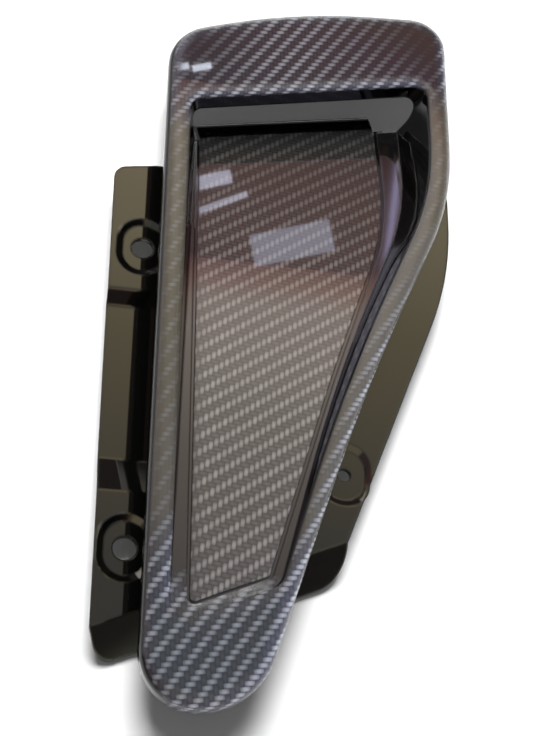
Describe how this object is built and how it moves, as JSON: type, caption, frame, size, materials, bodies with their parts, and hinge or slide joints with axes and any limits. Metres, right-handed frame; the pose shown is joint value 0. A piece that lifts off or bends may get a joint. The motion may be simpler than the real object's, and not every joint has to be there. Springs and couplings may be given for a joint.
{
  "type": "naca duct",
  "caption": "Bonnet NACA duct with a carbon twill bezel and ramp floor over a gloss black mounting base with dished bolt pads.",
  "frame": {"origin": "midway between the two left bolt holes, on the floor of their dished seats", "axes": "+X to the right across the duct, +Y from the nose to the outlet along the row of left bolts, +Z out of the bonnet"},
  "size_m": [0.1552, 0.3324, 0.0333],
  "materials": {
    "carbon_twill": "2x2 carbon twill under a clear gloss coat",
    "gloss_black": "black gloss gelcoat"
  },
  "bodies": {
    "root": {"carbon_bezel": "carbon_twill", "ramp_panel": "carbon_twill", "mounting_base": "gloss_black"}
  },
  "joints": []
}
